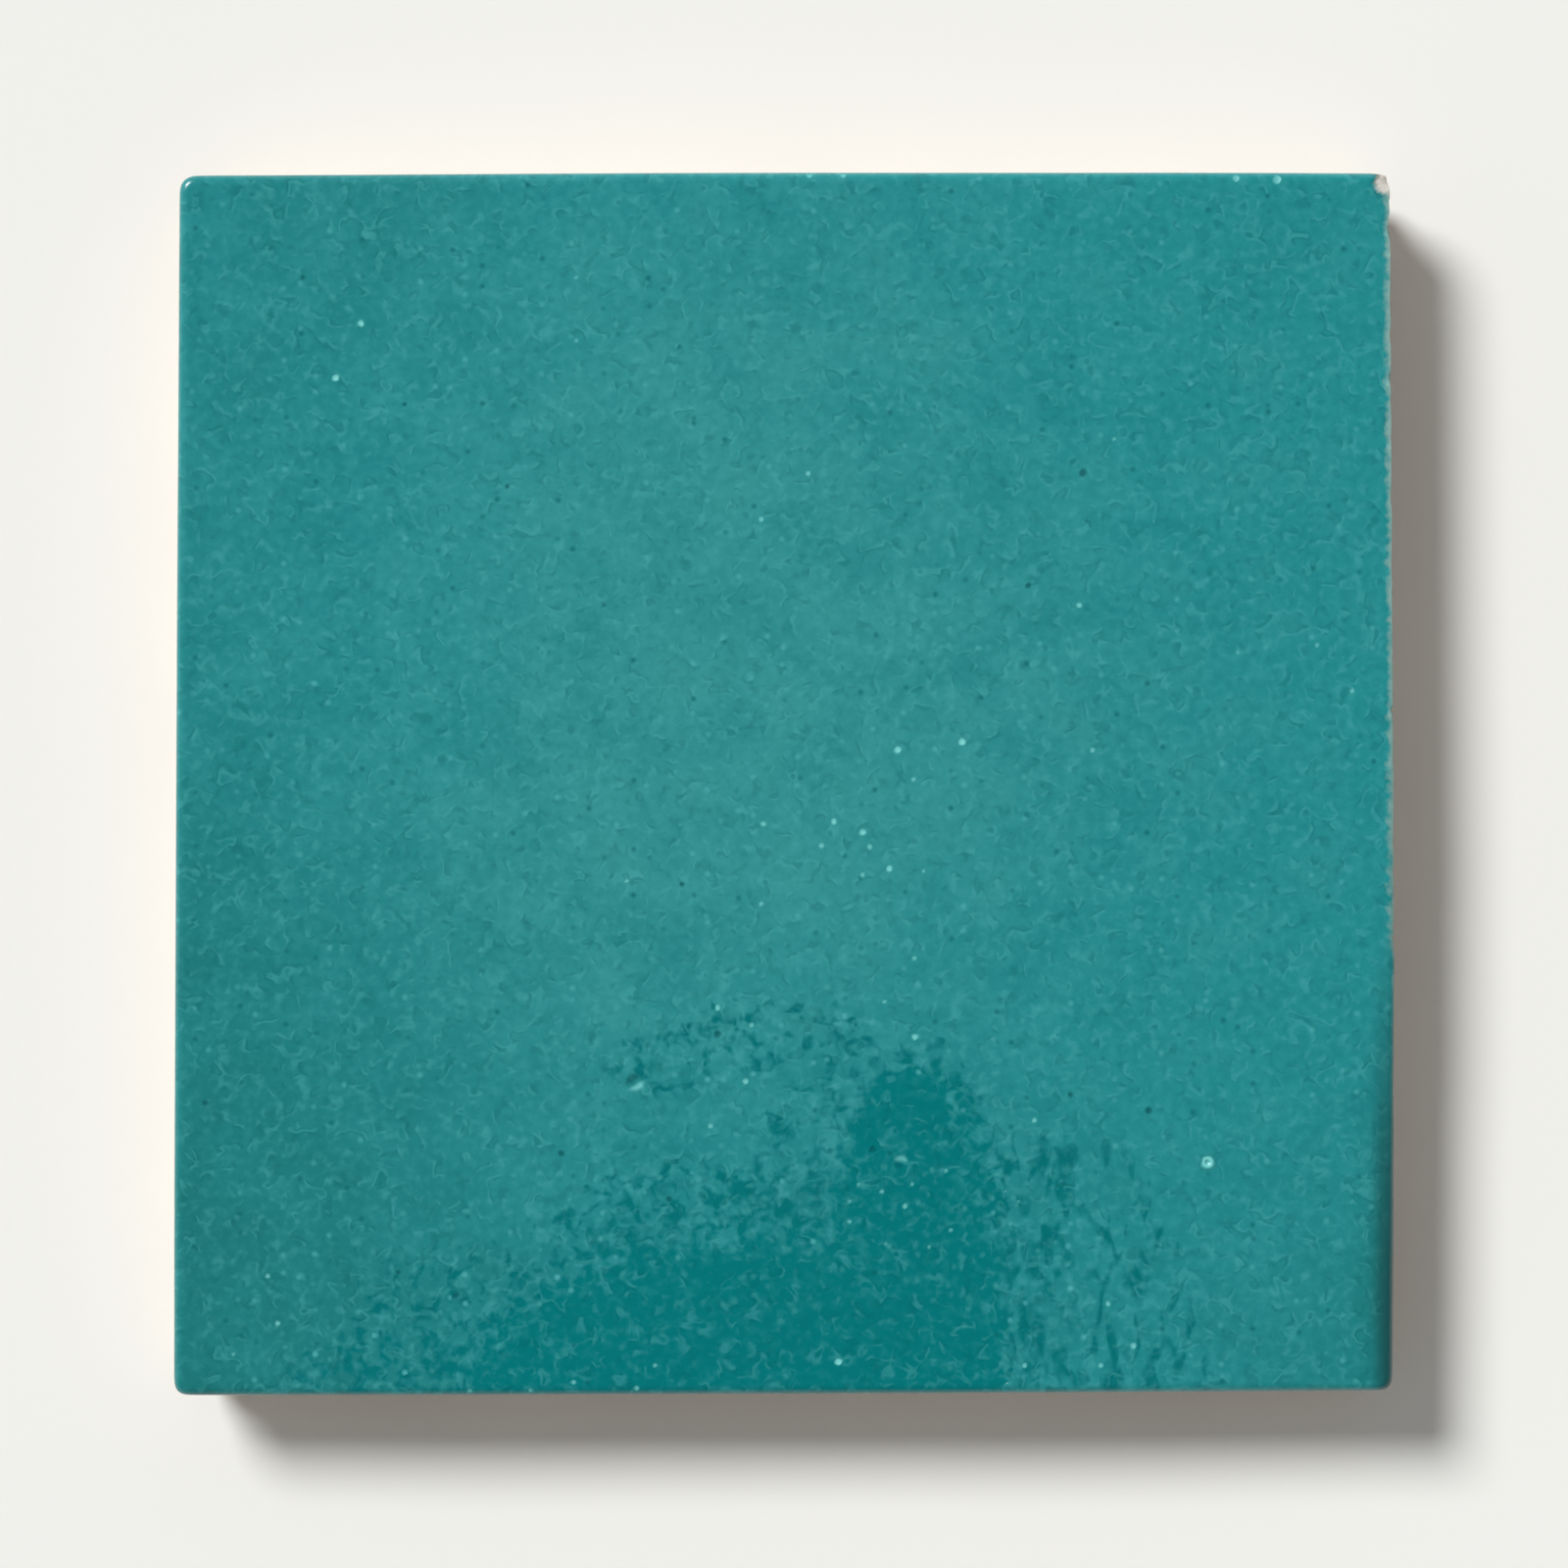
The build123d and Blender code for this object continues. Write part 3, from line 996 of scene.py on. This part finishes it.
def edge_material(finish):
    """Glaze that ran thin over the edge and ends raggedly on chalky, sandy fired clay."""
    material, tree = new_material("Copper glaze run over fired clay")
    spot = pattern_place(tree)
    glaze, glaze_rough, glaze_relief = glaze_look(tree, finish, spot)
    clay, clay_relief = clay_look(tree, finish, spot)
    below, lip, worn = glaze_end(tree, spot)
    relief = add_node(
        tree, "ShaderNodeMix", {"Factor": below, "A": glaze_relief, "B": clay_relief},
        data_type="VECTOR")
    surface = add_node(tree, "ShaderNodeBsdfPrincipled", {
        "Base Color": tinted(
            tree, glaze, ((lip, finish.thin), (worn, finish.thin), (below, clay))),
        "Roughness": add_node(
            tree, "ShaderNodeMix", {"Factor": below, "A": glaze_rough, "B": CLAY_ROUGHNESS}),
        "IOR": GLAZE_IOR,
        "Normal": add_node(
            tree, "ShaderNodeBump",
            {"Height": below, "Strength": 1.0, "Distance": 0.12 * MM, "Normal": relief},
            invert=True),
    })
    add_node(tree, "ShaderNodeOutputMaterial", {"Surface": surface})
    return material


class TILE_OT_build(bpy.types.Operator):
    """Builds the tile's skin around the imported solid, with its glaze and its bare clay"""
    bl_idname = "tile.build"
    bl_label = "Build the tile"

    def execute(self, context):
        settings = context.scene
        shell = Shell(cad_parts["tile"])
        build = bmesh.new()
        tile_skin(shell, settings.tile_shape, build)
        add_marks(build)
        add_face_fields(build)
        depth_layer = build.verts.layers.float["depth_below_lip"]
        for face in build.faces:
            face.smooth = True
            face.material_index = int(max(vert[depth_layer] for vert in face.verts) > -EDGE_BAND)
        bmesh.ops.scale(build, vec=(MM,) * 3, verts=build.verts)
        mesh = bpy.data.meshes.new("zellige_tile")
        build.to_mesh(mesh)
        build.free()
        mesh.set_sharp_from_angle(angle=math.radians(42))
        mesh.materials.append(glaze_material(settings.tile_finish))
        mesh.materials.append(edge_material(settings.tile_finish))
        tile = bpy.data.objects.new("zellige_tile", mesh)
        context.collection.objects.link(tile)
        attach(tile, "root")
        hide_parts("tile")
        return {"FINISHED"}


def add_floor(context, look):
    """A plain matt floor under the tile, like pale paper."""
    build = bmesh.new()
    bmesh.ops.create_grid(build, x_segments=4, y_segments=4, size=FLOOR_REACH)
    mesh = bpy.data.meshes.new("floor")
    build.to_mesh(mesh)
    build.free()
    material, tree = new_material("Matt pale paper")
    surface = add_node(tree, "ShaderNodeBsdfPrincipled", {
        "Base Color": look.floor, "Roughness": 0.95, "Specular IOR Level": 0.0})
    add_node(tree, "ShaderNodeOutputMaterial", {"Surface": surface})
    mesh.materials.append(material)
    floor = bpy.data.objects.new("floor", mesh)
    context.collection.objects.link(floor)


def add_world(context, look):
    """An even fill light, as pale as the floor to the eye, that dims overhead in the glaze."""
    world = bpy.data.worlds.new("Studio")
    world.use_nodes = True
    tree = world.node_tree
    tree.nodes.clear()
    ray = add_node(tree, "ShaderNodeLightPath")
    direction = add_node(tree, "ShaderNodeTexCoord")
    height = add_node(tree, "ShaderNodeSeparateXYZ", {"Vector": direction.outputs["Generated"]})
    mirrored = add_node(
        tree, "ShaderNodeMapRange",
        {"Value": height.outputs["Z"], "From Min": 0.2, "From Max": 0.75,
         "To Min": 0.95, "To Max": 0.04},
        interpolation_type="SMOOTHSTEP")
    seen = add_node(tree, "ShaderNodeBackground", {"Color": look.floor, "Strength": 1.0})
    glossy = add_node(tree, "ShaderNodeBackground", {"Color": look.floor, "Strength": mirrored})
    fill = add_node(tree, "ShaderNodeBackground", {"Color": (1, 1, 1, 1), "Strength": look.fill})
    light = add_node(
        tree, "ShaderNodeMixShader", {0: ray.outputs["Is Glossy Ray"], 1: fill, 2: glossy})
    light = add_node(
        tree, "ShaderNodeMixShader", {0: ray.outputs["Is Camera Ray"], 1: light, 2: seen})
    add_node(tree, "ShaderNodeOutputWorld", {"Surface": light})
    context.scene.world = world


def add_key(context, look):
    """A wide, soft key light from the far left."""
    light = bpy.data.lights.new("key", "SUN")
    light.angle = look.key_size
    light.energy = math.pi * (1 - look.fill) / math.sin(look.key_height)
    key = bpy.data.objects.new("key", light)
    key.rotation_euler = Euler((0, math.pi / 2 - look.key_height, math.radians(135)))
    context.collection.objects.link(key)


def add_camera(context, look):
    """A camera that looks straight down on the face."""
    low, high = cad_box
    camera_data = bpy.data.cameras.new("camera")
    camera_data.lens = look.lens
    camera_data.clip_start = 0.01
    camera_data.clip_end = 50
    distance = (high.x - low.x) / look.filled * look.lens / camera_data.sensor_width
    camera = bpy.data.objects.new("camera", camera_data)
    camera.location = (0, 0, high.z + distance)
    context.collection.objects.link(camera)
    context.scene.camera = camera


class TILE_OT_stage(bpy.types.Operator):
    """Sets up the plain pale floor, the soft light and the camera"""
    bl_idname = "tile.stage"
    bl_label = "Set up the stage"

    def execute(self, context):
        look = context.scene.stage_look
        add_floor(context, look)
        add_world(context, look)
        add_key(context, look)
        add_camera(context, look)
        context.scene.view_settings.view_transform = "Standard"
        return {"FINISHED"}


class TILE_PT_panel(bpy.types.Panel):
    """Lists the sizes, the colours and the steps that build the tile and its stage"""
    bl_label = "Zellige tile"
    bl_idname = "TILE_PT_panel"
    bl_space_type = "VIEW_3D"
    bl_region_type = "UI"
    bl_category = "Tile"

    def draw(self, context):
        scene = context.scene
        for owner in (scene.tile_shape, scene.tile_finish, scene.stage_look):
            box = self.layout.box()
            for name in owner.__annotations__:
                box.prop(owner, name)
        self.layout.operator(TILE_OT_stage.bl_idname)
        self.layout.operator(TILE_OT_build.bl_idname)


CLASSES = (TileShape, TileFinish, StageLook, TILE_OT_stage, TILE_OT_build, TILE_PT_panel)


def register():
    """Adds the settings, the steps and the panel."""
    for item in CLASSES:
        bpy.utils.register_class(item)
    bpy.types.Scene.tile_shape = bpy.props.PointerProperty(type=TileShape)
    bpy.types.Scene.tile_finish = bpy.props.PointerProperty(type=TileFinish)
    bpy.types.Scene.stage_look = bpy.props.PointerProperty(type=StageLook)


def unregister():
    """Takes them away again."""
    del bpy.types.Scene.stage_look
    del bpy.types.Scene.tile_finish
    del bpy.types.Scene.tile_shape
    for item in reversed(CLASSES):
        bpy.utils.unregister_class(item)


def main():
    """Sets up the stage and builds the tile."""
    register()
    bpy.ops.tile.stage()
    bpy.ops.tile.build()


if __name__ == "__main__":
    main()
